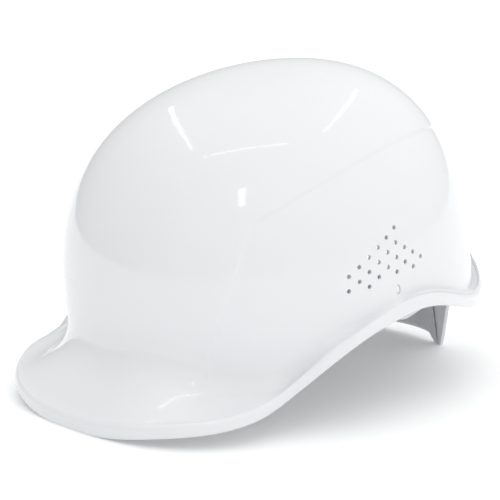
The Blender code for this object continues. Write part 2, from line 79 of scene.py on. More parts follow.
def mixedColor(tree, shader, factor, colors):  # colours at the two ends of a pattern
    ramp = addNode(tree, "ShaderNodeValToRGB", links={"Fac": factor})
    for element, color in zip(ramp.color_ramp.elements, colors):
        element.color = linearColor(color)
    tree.links.new(ramp.outputs["Color"], shader.inputs["Base Color"])


def mouldedPlastic(name, look):
    made, tree, shader = newMaterial(name, look["shader"])
    place = addNode(tree, "ShaderNodeTexCoord").outputs["Object"]
    tone = addNode(tree, "ShaderNodeTexNoise", {"Scale": 1 / (look["toneSize"] * mm), "Detail": 2.0},
                   {"Vector": place})
    mixedColor(tree, shader, tone.outputs["Fac"], look["colors"])
    wear = addNode(tree, "ShaderNodeTexNoise", {"Scale": 1 / (look["wearSize"] * mm), "Detail": 5.0},
                   {"Vector": place})
    smoothest, roughest = look["roughness"]
    rough = addNode(tree, "ShaderNodeMapRange",
                    {"From Min": 0.35, "From Max": 0.7, "To Min": smoothest, "To Max": roughest},
                    {"Value": wear.outputs["Fac"]})
    tree.links.new(rough.outputs["Result"], shader.inputs["Roughness"])
    ripple = addNode(tree, "ShaderNodeTexNoise", {"Scale": 1 / (look["rippleSize"] * mm), "Detail": 1.0},
                     {"Vector": place})
    grain = addNode(tree, "ShaderNodeTexNoise", {"Scale": 1 / (look["grainSize"] * mm), "Detail": 2.0},
                    {"Vector": place})
    swell = addNode(tree, "ShaderNodeBump", {"Strength": 1.0, "Distance": look["rippleDepth"] * mm},
                    {"Height": ripple.outputs["Fac"]})
    skin = addNode(tree, "ShaderNodeBump", {"Strength": 1.0, "Distance": look["grainDepth"] * mm},
                   {"Height": grain.outputs["Fac"], "Normal": swell.outputs["Normal"]})
    tree.links.new(skin.outputs["Normal"], shader.inputs["Normal"])
    return made


# Polyethylene shell, injected into a polished mould: a wet-looking white skin with a faint long ripple.
glossShell = mouldedPlastic("Injection-moulded polyethylene, polished", {
    "shader": {"IOR": 1.5, "Specular IOR Level": 0.35, "Coat Weight": 0.3, "Coat Roughness": 0.02,
               "Coat IOR": 1.45},
    "colors": ("#e6e8e9", "#e2e4e6"), "toneSize": 60, "roughness": (0.06, 0.12), "wearSize": 14,
    "rippleSize": 24, "rippleDepth": 0.05, "grainSize": 1.2, "grainDepth": 0.0015,
})

# The core side of the same mould is only sand-blasted, so the inside is dull.
dullShell = mouldedPlastic("Injection-moulded polyethylene, blasted core side", {
    "shader": {"IOR": 1.53, "Specular IOR Level": 0.45},
    "colors": ("#e9ebec", "#e2e4e6"), "toneSize": 40, "roughness": (0.36, 0.5), "wearSize": 9,
    "rippleSize": 16, "rippleDepth": 0.05, "grainSize": 0.7, "grainDepth": 0.02,
})

# Low-density polyethylene band and straps: soft, a little waxy and greyer than the shell.
waxyBand = mouldedPlastic("Moulded low-density polyethylene, waxy", {
    "shader": {"IOR": 1.51, "Specular IOR Level": 0.45, "Subsurface Weight": 0.08,
               "Subsurface Radius": (0.004, 0.004, 0.004), "Subsurface Scale": 0.5},
    "colors": ("#e4e6e8", "#d9dcdf"), "toneSize": 22, "roughness": (0.3, 0.44), "wearSize": 6,
    "rippleSize": 10, "rippleDepth": 0.05, "grainSize": 0.6, "grainDepth": 0.012,
})

# Acetal studs and rivets: hard, white and nearly matte, with rubbed spots.
acetalStud = mouldedPlastic("Moulded acetal, satin", {
    "shader": {"IOR": 1.48, "Specular IOR Level": 0.5},
    "colors": ("#f2f2f0", "#e6e7e6"), "toneSize": 5, "roughness": (0.24, 0.4), "wearSize": 2.5,
    "rippleSize": 4, "rippleDepth": 0.02, "grainSize": 0.4, "grainDepth": 0.006,
})


def wovenWebbing(name, look):
    made, tree, shader = newMaterial(name, look["shader"])
    across, along = addNode(tree, "ShaderNodeSeparateXYZ", links={
        "Vector": addNode(tree, "ShaderNodeUVMap", uv_map="webbing").outputs["UV"]}).outputs[:2]

    def rib(value, spacing):  # rounded threads side by side, one every spacing millimetres
        turn = addNode(tree, "ShaderNodeMath", {1: math.pi / spacing}, {0: value}, operation="MULTIPLY")
        wave = addNode(tree, "ShaderNodeMath", links={0: turn.outputs[0]}, operation="SINE")
        return addNode(tree, "ShaderNodeMath", links={0: wave.outputs[0]}, operation="ABSOLUTE").outputs[0]

    def step(value, spacing):
        part = addNode(tree, "ShaderNodeMath", {1: 1 / spacing}, {0: value}, operation="MULTIPLY")
        return addNode(tree, "ShaderNodeMath", links={0: part.outputs[0]}, operation="FLOOR").outputs[0]

    warp = rib(across, look["warp"])
    weft = rib(along, look["weft"])
    both = addNode(tree, "ShaderNodeMath", operation="ADD",
                   links={0: step(across, look["warp"]), 1: step(along, look["weft"])})
    over = addNode(tree, "ShaderNodeMath", {1: 2.0}, {0: both.outputs[0]}, operation="FLOORED_MODULO")
    height = addNode(tree, "ShaderNodeMix", links={"Factor": over.outputs[0], "A": warp, "B": weft})
    # grey where each thread dips at its edge, pale on its crest: painted shade in the grooves of the weave
    mixedColor(tree, shader, height.outputs["Result"], look["colors"])
    bump = addNode(tree, "ShaderNodeBump", {"Strength": 0.8, "Distance": look["depth"] * mm},
                   {"Height": height.outputs["Result"]})
    tree.links.new(bump.outputs["Normal"], shader.inputs["Normal"])
    return made


# Flat woven polyester, 19 mm: threads of 1 mm, drawn a little coarser than real ones so that they show.
# The darker of its two colours is painted shade in the grooves between the threads.
webbing = wovenWebbing("Woven polyester webbing", {
    "shader": {"Roughness": 0.72, "Sheen Weight": 0.25, "Sheen Roughness": 0.5, "Specular IOR Level": 0.25},
    "colors": ("#a9adb2", "#e1e3e5"), "warp": 1.35, "weft": 1.0, "depth": 0.18,
})


def knitFabric(name, look):
    made, tree, shader = newMaterial(name, look["shader"])
    place = addNode(tree, "ShaderNodeTexCoord").outputs["Object"]
    loops = addNode(tree, "ShaderNodeTexVoronoi", {"Scale": 1 / (look["loop"] * mm), "Randomness": 0.35},
                    {"Vector": place})
    fuzz = addNode(tree, "ShaderNodeTexNoise", {"Scale": 1 / (look["fuzz"] * mm), "Detail": 3.0},
                   {"Vector": place})
    height = addNode(tree, "ShaderNodeMix", {"Factor": 0.35},
                     {"A": loops.outputs["Distance"], "B": fuzz.outputs["Fac"]})
    # pale on each loop and grey between loops: painted shade, mixed with a random fuzz tone
    mixedColor(tree, shader, height.outputs["Result"], look["colors"])
    bump = addNode(tree, "ShaderNodeBump", {"Strength": 0.7, "Distance": look["depth"] * mm},
                   {"Height": height.outputs["Result"]}, invert=True)
    tree.links.new(bump.outputs["Normal"], shader.inputs["Normal"])
    return made


# Brushed polyester knit over thin foam: soft, light grey, loops of about 1 mm and a dusty sheen.
knitLook = {
    "shader": {"Roughness": 0.88, "Sheen Weight": 0.4, "Sheen Roughness": 0.45, "Specular IOR Level": 0.2},
    # its darker colour is painted shade between the loops
    "colors": ("#eceded", "#b4b8bd"), "loop": 1.1, "fuzz": 0.5, "depth": 0.25,
}
browKnit = knitFabric("Brushed polyester knit", knitLook)

# Bonded polyester thread, two-ply, drawn with pale and grey flecks: painted highlight and painted shade along
# it.
threadLook = {"shader": {"Roughness": 0.45, "Specular IOR Level": 0.4}, "shineFleck": 0.35}
thread, threadTree, threadShader = newMaterial("Bonded polyester thread", threadLook["shader"])
threadPlace = addNode(threadTree, "ShaderNodeTexCoord").outputs["Object"]
threadShineAndShade = addNode(threadTree, "ShaderNodeTexNoise",
                      {"Scale": 1 / (threadLook["shineFleck"] * mm), "Detail": 1.0}, {"Vector": threadPlace})
# pale flecks are painted highlight, grey flecks painted shade
mixedColor(threadTree, threadShader, threadShineAndShade.outputs["Fac"], ("#f6f6f5", "#c9ccd0"))
print("materials made")


def smoothStep(value):
    value = min(max(value, 0.0), 1.0)
    return value * value * (3 - 2 * value)


def newPiece(name, mesh, materials=()):
    for finish in materials:
        mesh.materials.append(finish)
    made = bpy.data.objects.new(name, mesh)
    bpy.context.scene.collection.objects.link(made)
    return made


def meshFrom(name, points, faces, placed=False):  # points in the cap's frame, unless they are placed already
    mesh = bpy.data.meshes.new(name)
    mesh.from_pydata([p if placed else toRow(p) for p in points], [], faces)
    edit = bmesh.new()
    edit.from_mesh(mesh)
    bmesh.ops.recalc_face_normals(edit, faces=edit.faces)
    edit.to_mesh(mesh)
    edit.free()
    mesh.shade_smooth()
    return mesh


def ringFaces(count, rings):  # two caps, and the skin between rings of count points each
    size = count * rings
    faces = [tuple(range(count)), tuple(range(size - 1, size - 1 - count, -1))]
    for here in range(0, size - count, count):
        there = here + count
        for k in range(count):
            after = (k + 1) % count
            faces.append((here + k, here + after, there + after, there + k))
    return faces


def settled(piece):  # keeps what the modifiers made and drops them
    bpy.context.view_layer.update()
    graph = bpy.context.evaluated_depsgraph_get()
    done = bpy.data.meshes.new_from_object(piece.evaluated_get(graph))
    piece.modifiers.clear()
    piece.data = done
    return piece


def setInputs(modifier, tree, values):  # by each socket's own identifier
    for item in tree.interface.items_tree:
        if item.item_type == "SOCKET" and item.in_out == "INPUT" and item.name in values:
            modifier[item.identifier] = values[item.name]


def newTree(name, inputs):
    tree = bpy.data.node_groups.new(name, "GeometryNodeTree")
    tree.interface.new_socket("Geometry", in_out="INPUT", socket_type="NodeSocketGeometry")
    for label, kind in inputs.items():
        tree.interface.new_socket(label, in_out="INPUT", socket_type="NodeSocket" + kind)
    tree.interface.new_socket("Geometry", in_out="OUTPUT", socket_type="NodeSocketGeometry")
    return tree, tree.nodes.new("NodeGroupInput"), tree.nodes.new("NodeGroupOutput")


# The shell: a rounded dome, a cove round its foot, a flange that swells into the bill, and a lip.
shellPlan = {
    "halfWidth": 98.7, "front": 115.6, "rear": 109.5, "height": 112.4, "base": 22.0, "power": 2.7,
    "crownShift": 7.3, "rimFlare": 3.0, "billReach": 147.7, "rearFlange": 4.0, "billPower": 2.6,
    "rimHeights": (7.5, 10.6, 16.3, 33.9, 11.1, 8.0, 5.0),  # every 30 degrees from the front
    "lipHeight": 6.0, "lipRadius": 2.4, "wall": 2.0, "flangeDrop": 2.5,
    "billDrop": 19.5, "billBlend": (48, 40),  # drops more ahead of the first angle, over the second
    "coveRadius": 2.5, "frontCoveRadius": 9.0, "coveBlend": (78, 30),
    "templeDegrees": 64.0, "templeSpread": 10, "templeTuck": 9.5, "templeDip": 6.2,
    "templeLead": 10.0, "leadAt": (62, 13),
    "bead": 0.45, "beadRun": 0.9, "panelDepth": 0.9, "panelEdge": 1.5, "panelTopEdge": 2.4,
    "columns": (26, 5, 48, 5, 20), "rows": (24, 5, 36), "coveRows": 8, "flangeRows": 6, "lipRows": 7,
    "coveShare": 0.46, "beadShare": 0.04,  # the most that a cove or the bead takes of a short flange
    "firstHeight": 30, "passes": 12,  # where the search for a column's place starts, and its rounds
}
rimSeries = np.linalg.solve(np.cos(np.outer(np.linspace(0, math.pi, 7), np.arange(7))),
                            np.array(shellPlan["rimHeights"]))
columnMarks = np.concatenate([[0], np.cumsum(shellPlan["columns"])])
rowMarks = np.concatenate([[0], np.cumsum(shellPlan["rows"])])


# The recessed side panel's edges: degrees round the dome against height.
panelPlan = {
    "frontFoot": (19, 29.6), "frontLean": 0.238, "backTop": (97, 160), "backLean": 0.1,
    "crest": (95, 107), "crestDrop": (48, 14), "lowestTop": 88,
}


def panelFront(height):
    low, degrees = panelPlan["frontFoot"]
    return degrees + panelPlan["frontLean"] * (height - low)


def panelBack(height):
    high, degrees = panelPlan["backTop"]
    return degrees - panelPlan["backLean"] * (high - height)


def panelTop(side):
    middle, high = panelPlan["crest"]
    spread, drop = panelPlan["crestDrop"]
    return max(high - drop * ((middle - side) / spread) ** 2, panelPlan["lowestTop"])


def panelMask(side, height):
    plan = shellPlan
    front = smoothStep((side - panelFront(height)) / plan["panelEdge"])
    back = smoothStep((panelBack(height) - side) / plan["panelEdge"])
    top = smoothStep((panelTop(side) - height) / plan["panelTopEdge"])
    return front * back * top


def domePoint(side, height):
    plan = shellPlan
    turn = math.radians(side)
    length = plan["front"] if math.cos(turn) > 0 else plan["rear"]
    rise = min(max(height - plan["base"], 0.0), plan["height"])
    scale = (1 - (rise / plan["height"]) ** plan["power"]) ** (1 / plan["power"])
    shrink = 1 - plan["panelDepth"] * panelMask(side, height) / 100  # the dome is about 100 mm in radius
    x = plan["halfWidth"] * math.sin(turn) * scale * shrink
    return Vector((x, -length * math.cos(turn) * scale * shrink + (1 - scale) * plan["crownShift"], height))


def rimPoint(side):
    plan = shellPlan
    turn = math.radians(side)
    power = 2 / plan["billPower"] if side < 90 else 1.0
    length = plan["billReach"] if side < 90 else plan["rear"] + plan["rearFlange"]
    # The rim draws in and dips where the bill meets the dome's side.
    temple = math.exp(-((side - plan["templeDegrees"]) / plan["templeSpread"]) ** 2)
    x = (plan["halfWidth"] + plan["rimFlare"] - plan["templeTuck"] * temple) * abs(math.sin(turn)) ** power
    y = -length * math.copysign(abs(math.cos(turn)) ** power, math.cos(turn))
    return Vector((x, y, float(np.cos(turn * np.arange(7)) @ rimSeries) - plan["templeDip"] * temple))


def footPoint(side):  # where the flange that leaves the dome here meets the rim
    middle, spread = shellPlan["leadAt"]
    return rimPoint(side + shellPlan["templeLead"] * math.exp(-((side - middle) / spread) ** 2))


def coveSizes(side):  # height of the crease at the dome's foot, and how far the cove reaches from it
    plan = shellPlan
    start, run = plan["billBlend"]
    crease = footPoint(side).z + plan["flangeDrop"] + plan["billDrop"] * smoothStep((start - side) / run)
    start, run = plan["coveBlend"]
    return crease, plan["coveRadius"] + plan["frontCoveRadius"] * smoothStep((start - side) / run)


def columnSide(column, height):
    edge = shellPlan["panelEdge"]
    front = panelFront(height)
    back = panelBack(height)
    return float(np.interp(column, columnMarks, (0, front, front + edge, back - edge, back, 180)))


def heightAngle(height):
    share = max(height - shellPlan["base"], 0) / shellPlan["height"]
    return math.acos(min(share, 1.0) ** (shellPlan["power"] / 2))


def rounded(a, corner, b, count):  # a circular corner between two straight runs
    weight = math.sin((a - corner).angle(b - corner) / 2)
    made = []
    for k in range(count):
        t = k / (count - 1)
        parts = ((1 - t) ** 2, 2 * weight * t * (1 - t), t * t)
        made.append((a * parts[0] + corner * parts[1] + b * parts[2]) / sum(parts))
    return made


def shellColumn(column):  # points down the outer face, from beside the crown to the lip's foot
    plan = shellPlan
    side = columnSide(column, plan["firstHeight"])
    for _ in range(plan["passes"]):
        crease, reach = coveSizes(side)
        side = columnSide(column, crease + reach)
    foot = side
    startAngle = heightAngle(crease + reach)
    points = []
    for row in range(1, rowMarks[-1] + 1):
        side = foot
        for _ in range(plan["passes"]):
            top = panelTop(side)
            angles = (0, heightAngle(top), heightAngle(top - plan["panelTopEdge"]), startAngle)
            angle = float(np.interp(row, rowMarks, angles))
            height = plan["base"] + plan["height"] * math.cos(angle) ** (2 / plan["power"])
            if row == rowMarks[-1]:
                height = crease + reach
            side = columnSide(column, height)
        points.append(domePoint(side, height))
    edge = footPoint(foot)
    corner = domePoint(foot, crease)
    slope = (edge - corner).normalized()
    span = (edge - corner).length
    coveEnd = corner + slope * min(reach, span * plan["coveShare"])
    lipStart = edge - slope * min(plan["lipRadius"], span * plan["coveShare"])
    down = Vector((0, 0, -1))
    points += rounded(points[-1], corner, coveEnd, plan["coveRows"])[1:]
    points += [coveEnd.lerp(lipStart, k / plan["flangeRows"]) for k in range(1, plan["flangeRows"])]
    points.append(lipStart - slope * min(plan["beadRun"], span * plan["beadShare"]))
    points += rounded(lipStart, edge, edge + down * (edge - lipStart).length, plan["lipRows"])
    points += [edge + down * (plan["lipHeight"] - plan["wall"] / 2 - d) for d in (1.2, 0)]
    return points


def shellGrid():  # every column's points, outside, round the lip's foot and back up inside
    half = [shellColumn(c) for c in range(columnMarks[-1] + 1)]
    mirrored = [[Vector((-p.x, p.y, p.z)) for p in column] for column in half[-2:0:-1]]
    outer = np.array([[tuple(p) for p in column] for column in half + mirrored])
    around = np.roll(outer, -1, axis=0) - np.roll(outer, 1, axis=0)
    normals = np.cross(np.gradient(outer, axis=1), around)
    normals /= np.linalg.norm(normals, axis=2, keepdims=True)
    wall = shellPlan["wall"]
    inner = outer - normals * wall
    middle = outer[:, -1] - normals[:, -1] * wall / 2
    lipRows = shellPlan["lipRows"]  # a low bead runs along the top of the lip
    outer[:, -2 - lipRows:-2, 2] += shellPlan["bead"] * np.cos(np.linspace(0, math.pi / 2, lipRows)) ** 0.5
    foot = []
    for k in range(1, 6):
        turn = math.pi * k / 6
        outwards = normals[:, -1] * math.cos(turn)
        foot.append(middle + wall / 2 * (outwards + np.array((0, 0, -1)) * math.sin(turn)))
    return np.concatenate([outer, np.stack(foot, axis=1), inner[:, ::-1]], axis=1), outer.shape[1]


def shellMesh():
    grid, outerRows = shellGrid()
    columns, rows = grid.shape[:2]
    top = shellPlan["base"] + shellPlan["height"]
    points = [(0, shellPlan["crownShift"], top)] + [tuple(p) for p in grid.reshape(-1, 3)]
    points.append((0, shellPlan["crownShift"], top - shellPlan["wall"]))
    faces = []
    inside = []
    for i in range(columns):
        here = 1 + i * rows
        there = 1 + (i + 1) % columns * rows
        faces += [(0, here, there), (len(points) - 1, there + rows - 1, here + rows - 1)]
        inside += [False, True]
        for k in range(rows - 1):
            faces.append((here + k, here + k + 1, there + k + 1, there + k))
            inside.append(k > outerRows + 3)
    placed = [toRow(p) for p in points]
    for p in placed:
        p.z = max(p.z, 0.0)  # the bill's lowest point is rubbed flat where it rests
    mesh = meshFrom("shell", placed, faces, placed=True)
    marks = mesh.attributes.new("inside", "BOOLEAN", "FACE")
    marks.data.foreach_set("value", inside)
    return mesh


ventPlan = {
    "radius": 1.1, "start": (-32.7, 57.5), "stepUp": (6.6, 2.82), "stepDown": (5.0, -4.3),
    "rows": ((0, 5), (-1, 4), (0, 4), (2, 4), (3, 4)), "studHole": (-5.7, 41.2, 1.4, 2.5), "eased": 0.25,
    "drillDepth": 12.0, "drillSides": 24, "flare": 1.9,
}


def sideAt(y, height):  # how far round the dome its left side reaches this y
    low, high = 17.0, 163.0
    for _ in range(40):
        middle = (low + high) / 2
        low, high = (middle, high) if domePoint(middle, height).y < y else (low, middle)
    return (low + high) / 2


def holeMesh():  # one point for each hole, with its turn and its size
    spots = []
    for row, (first, last) in enumerate(ventPlan["rows"]):
        for step in range(first, last + 1):
            y, z = (a + step * b + row * c for a, b, c in zip(
                ventPlan["start"], ventPlan["stepUp"], ventPlan["stepDown"]))
            spots.append((y, z, ventPlan["radius"], ventPlan["radius"]))
    spots.append(ventPlan["studHole"])
    points = []
    turns = []
    sizes = []
    for y, z, halfWidth, halfHeight in spots:
        side = sideAt(y, z)
        centre = domePoint(side, z)
        along = domePoint(side + 1, z) - domePoint(side - 1, z)
        normal = along.cross(domePoint(side, z + 2) - domePoint(side, z - 2))
        if (y, z) == ventPlan["studHole"][:2]:
            normal = Vector((1, 0, 0))  # the stud goes straight in from the side
        for mirror in (1, -1):
            flip = Vector((mirror, 1, 1))
            out = (capToRow.to_3x3() @ (normal * flip)).normalized()
            up = capToRow.to_3x3() @ Vector((0, 0, 1))
            across = up.cross(out).normalized()
            turn = Matrix((across, out.cross(across), out)).transposed()
            points.append(toRow(centre * flip))
            turns.append(tuple(turn.to_euler()))
            sizes.append((halfWidth * mm, halfHeight * mm, mm))
    mesh = bpy.data.meshes.new("hole_points")
    mesh.from_pydata(points, [], [])
    for name, rows in (("turn", turns), ("size", sizes)):
        values = mesh.attributes.new(name, "FLOAT_VECTOR", "POINT")
        values.data.foreach_set("vector", np.array(rows, np.float32).ravel())
    return mesh


def perforatedTree():  # drills a straight hole with an eased edge at each point
    tree, given, result = newTree("perforated shell", {
        "Hole Points": "Object", "Depth": "Float", "Eased Edge": "Float", "Outside": "Material",
        "Inside": "Material"})
    points = addNode(tree, "GeometryNodeObjectInfo", links={"Object": given.outputs["Hole Points"]})
    turn = addNode(tree, "GeometryNodeInputNamedAttribute", {"Name": "turn"}, data_type="FLOAT_VECTOR")
    rotation = addNode(tree, "FunctionNodeEulerToRotation", links={"Euler": turn.outputs["Attribute"]})
    size = addNode(tree, "GeometryNodeInputNamedAttribute", {"Name": "size"}, data_type="FLOAT_VECTOR")
    drill = addNode(tree, "GeometryNodeMeshCylinder", {"Vertices": ventPlan["drillSides"], "Radius": 1.0},
                    {"Depth": given.outputs["Depth"]})
    flare = addNode(tree, "GeometryNodeMeshCone", {
        "Vertices": ventPlan["drillSides"], "Radius Top": ventPlan["flare"], "Radius Bottom": 1.0,
        "Depth": 1.0})
    sink = addNode(tree, "ShaderNodeMath", {1: -1.0}, {0: given.outputs["Eased Edge"]}, operation="MULTIPLY")
    drop = addNode(tree, "ShaderNodeCombineXYZ", links={"Z": sink.outputs[0]})
    sunk = addNode(tree, "GeometryNodeTransform",
                   links={"Geometry": flare.outputs["Mesh"], "Translation": drop.outputs[0]})
    cut = addNode(tree, "GeometryNodeMeshBoolean", operation="DIFFERENCE", solver="EXACT")
    tree.links.new(given.outputs["Geometry"], cut.inputs[0])
    for cutter in (drill.outputs["Mesh"], sunk.outputs["Geometry"]):
        placed = addNode(tree, "GeometryNodeInstanceOnPoints", links={
            "Points": points.outputs["Geometry"], "Instance": cutter,
            "Rotation": rotation.outputs["Rotation"], "Scale": size.outputs["Attribute"]})
        tree.links.new(placed.outputs["Instances"], cut.inputs[1])
    smooth = addNode(tree, "GeometryNodeSetShadeSmooth", links={"Geometry": cut.outputs["Mesh"]})
    angle = addNode(tree, "GeometryNodeInputMeshEdgeAngle")
    steep = addNode(tree, "FunctionNodeCompare", {"B": math.radians(32)},
                    {"A": angle.outputs["Unsigned Angle"]}, operation="GREATER_THAN", data_type="FLOAT")
    crisp = addNode(tree, "GeometryNodeSetShadeSmooth", {"Shade Smooth": False}, domain="EDGE",
                    links={"Geometry": smooth.outputs["Geometry"], "Selection": steep.outputs["Result"]})
    real = addNode(tree, "GeometryNodeRealizeInstances", links={"Geometry": crisp.outputs["Geometry"]})
    whole = addNode(tree, "GeometryNodeSetMaterial",
                    links={"Geometry": real.outputs["Geometry"], "Material": given.outputs["Outside"]})
    inside = addNode(tree, "GeometryNodeInputNamedAttribute", {"Name": "inside"}, data_type="BOOLEAN")
    both = addNode(tree, "GeometryNodeSetMaterial", links={
        "Geometry": whole.outputs["Geometry"], "Material": given.outputs["Inside"],
        "Selection": inside.outputs["Attribute"]})
    tree.links.new(both.outputs["Geometry"], result.inputs["Geometry"])
    return tree


shell = newPiece("shell_moulded", shellMesh())
holes = newPiece("hole_points", holeMesh())
drilling = shell.modifiers.new("perforations", "NODES")
drilling.node_group = perforatedTree()
setInputs(drilling, drilling.node_group, {
    "Hole Points": holes, "Depth": ventPlan["drillDepth"], "Eased Edge": ventPlan["eased"],
    "Outside": glossShell, "Inside": dullShell})
settled(shell)
bpy.data.objects.remove(holes)
print("shell drilled:", len(shell.data.polygons), "faces")

# Sockets inside the shell, one for each key of the hanger.
keyPlan = {
    "width": 14.0, "thickness": 2.0, "socketLow": 53.5, "socketHigh": 63.5, "socketWidth": 20.0,
    "socketCover": 1.5, "socketSkew": 1.6, "socketSink": 1.9, "socketLevels": 6, "socketEdge": 0.35,
}
keyDegrees = {"front_left": 42.0, "front_right": -42.0, "rear_left": 138.0, "rear_right": -138.0}


def outward(degrees):
    return Vector((math.sin(math.radians(degrees)), -math.cos(math.radians(degrees)), 0))


def sideways(degrees):
    return Vector((math.cos(math.radians(degrees)), math.sin(math.radians(degrees)), 0))


def outerRadius(degrees, height):  # from the cap's upright axis to the dome's outer face
    plan = shellPlan
    angle = math.radians(degrees)
    length = plan["front"] if math.cos(angle) > 0 else plan["rear"]
    scale = (1 - (max(height - plan["base"], 0) / plan["height"]) ** plan["power"]) ** (1 / plan["power"])
    return scale / math.hypot(math.sin(angle) / plan["halfWidth"], math.cos(angle) / length)


def bladeRadius(degrees):
    inner = outerRadius(degrees, keyPlan["socketHigh"]) - shellPlan["wall"] - shellPlan["panelDepth"]
    return inner - keyPlan["thickness"] / 2 - rest["gap"] - keyPlan["socketSkew"]


def socketData(degrees):  # a C-shaped channel whose open side is let into the wall
    out = outward(degrees)
    side = sideways(degrees)
    near = bladeRadius(degrees) - keyPlan["thickness"] / 2 - rest["gap"] - keyPlan["socketCover"]
    half = keyPlan["socketWidth"] / 2
    slot = keyPlan["width"] / 2 + rest["gap"]
    cover = near + keyPlan["socketCover"]
    levels = keyPlan["socketLevels"]
    rings = []
    for k in range(levels):
        height = keyPlan["socketLow"] + (keyPlan["socketHigh"] - keyPlan["socketLow"]) * k / (levels - 1)

        def wallAt(along):
            radius = near
            for _ in range(8):
                p = out * radius + side * along
                limit = outerRadius(math.degrees(math.atan2(p.x, -p.y)), height) - keyPlan["socketSink"]
                radius = math.sqrt(max(limit ** 2 - along ** 2, 0))
            return radius

        outline = [(wallAt(-half), -half), (near, -half), (near, half), (wallAt(half), half),
                   (wallAt(slot), slot), (cover, slot), (cover, -slot), (wallAt(-slot), -slot)]
        rings.append([out * r + side * s + Vector((0, 0, height)) for r, s in outline])
    return [p for ring in rings for p in ring], ringFaces(len(rings[0]), levels)


def joined(target, others):  # their meshes become part of the target's
    edit = bmesh.new()
    for piece in (target, *others):
        start = len(edit.faces)
        edit.from_mesh(piece.data)
        edit.faces.ensure_lookup_table()
        slots = [target.data.materials.find(m.name) if m else 0 for m in piece.data.materials]
        for face in edit.faces[start:]:
            face.material_index = max(slots[face.material_index], 0) if slots else 0
    edit.to_mesh(target.data)
    edit.free()
    for piece in others:
        bpy.data.objects.remove(piece)


easedPlan = {"segments": 2, "bevelDegrees": 35, "sharpDegrees": 38}


def eased(piece, width):  # rounds the edges that a mould would round
    bevel = piece.modifiers.new("eased", "BEVEL")
    bevel.width = width * mm
    bevel.segments = easedPlan["segments"]
    bevel.angle_limit = math.radians(easedPlan["bevelDegrees"])
    bevel.use_clamp_overlap = True
    settled(piece)
    piece.data.shade_smooth()
    piece.data.set_sharp_from_angle(angle=math.radians(easedPlan["sharpDegrees"]))
    return piece


sockets = []
for place, degrees in keyDegrees.items():
    socket = newPiece("socket_" + place, meshFrom("socket_" + place, *socketData(degrees)), [dullShell])
    sockets.append(eased(socket, keyPlan["socketEdge"]))
joined(shell, sockets)
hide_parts("shell")
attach(shell, "shell")
print("shell finished:", len(shell.data.polygons), "faces")


def refined(name, body, finish, width):  # a copy of the CAD piece, merged, with eased edges
    mesh = nodes[name].data.copy()
    mesh.materials.clear()
    edit = bmesh.new()
    edit.from_mesh(mesh)
    bmesh.ops.remove_doubles(edit, verts=edit.verts, dist=0.000004)
    bmesh.ops.dissolve_limit(edit, angle_limit=math.radians(0.5), verts=edit.verts, edges=edit.edges)
    bmesh.ops.recalc_face_normals(edit, faces=edit.faces)
    edit.to_mesh(mesh)
    edit.free()
    piece = eased(newPiece(name + "_moulded", mesh, [finish]), width)
    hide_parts(name)
    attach(piece, body)
    return piece


# Everything moulded that hangs inside: the band, the straps' keys, and their studs and rivets.
refined("headband", "headband", waxyBand, 0.35)
refined("nape_strap", "nape_strap", waxyBand, 0.4)
for side in ("left", "right"):
    refined("side_stud_" + side, "shell", acetalStud, 0.22)
    refined("nape_stud_" + side, "nape_studs", acetalStud, 0.22)
for place in keyDegrees:
    refined("hanger_key_" + place, "hanger", waxyBand, 0.35)
    refined("strap_rivet_" + place, "hanger", acetalStud, 0.2)
    refined("height_stud_" + place, "headband", acetalStud, 0.22)
refined("crown_rivet", "hanger", acetalStud, 0.2)
print("moulded pieces finished")


def stitchTree():  # a thread's stitches, end to end along each line of the mesh
    tree, given, result = newTree("stitch line", {
        "Pitch": "Float", "Stitch Length": "Float", "Thread": "Float", "Material": "Material"})
    line = addNode(tree, "GeometryNodeMeshToCurve", links={"Mesh": given.outputs["Geometry"]})
    spaced = addNode(tree, "GeometryNodeResampleCurve", mode="LENGTH",
                     links={"Curve": line.outputs["Curve"], "Length": given.outputs["Pitch"]})
    tangent = addNode(tree, "GeometryNodeInputTangent")
    turn = addNode(tree, "FunctionNodeAlignRotationToVector", axis="X",
                   links={"Vector": tangent.outputs["Tangent"]})
    bead = addNode(tree, "GeometryNodeMeshIcoSphere", {"Radius": 0.5, "Subdivisions": 2})
    size = addNode(tree, "ShaderNodeCombineXYZ", links={
        "X": given.outputs["Stitch Length"], "Y": given.outputs["Thread"], "Z": given.outputs["Thread"]})
    placed = addNode(tree, "GeometryNodeInstanceOnPoints", links={
        "Points": spaced.outputs["Curve"], "Instance": bead.outputs["Mesh"],
        "Rotation": turn.outputs["Rotation"], "Scale": size.outputs["Vector"]})
    real = addNode(tree, "GeometryNodeRealizeInstances", links={"Geometry": placed.outputs["Instances"]})
    smooth = addNode(tree, "GeometryNodeSetShadeSmooth", links={"Geometry": real.outputs["Geometry"]})
    finish = addNode(tree, "GeometryNodeSetMaterial",
                     links={"Geometry": smooth.outputs["Geometry"], "Material": given.outputs["Material"]})
    tree.links.new(finish.outputs["Geometry"], result.inputs["Geometry"])
    return tree


stitchLook = {"pitch": 2.6, "length": 1.9, "thread": 0.42}
stitches = stitchTree()


def sewn(name, lines, body):  # lines of points in the row frame
    mesh = bpy.data.meshes.new(name)
    points = [p for line in lines for p in line]
    edges = []
    start = 0
    for line in lines:
        edges += [(start + k, start + k + 1) for k in range(len(line) - 1)]
        start += len(line)
    mesh.from_pydata(points, edges, [])
    piece = newPiece(name, mesh)
    sewing = piece.modifiers.new("stitches", "NODES")
    sewing.node_group = stitches
    setInputs(sewing, stitches, {
        "Pitch": stitchLook["pitch"] * mm, "Stitch Length": stitchLook["length"] * mm,
        "Thread": stitchLook["thread"] * mm, "Material": thread})
    settled(piece)
    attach(piece, body)
    return piece


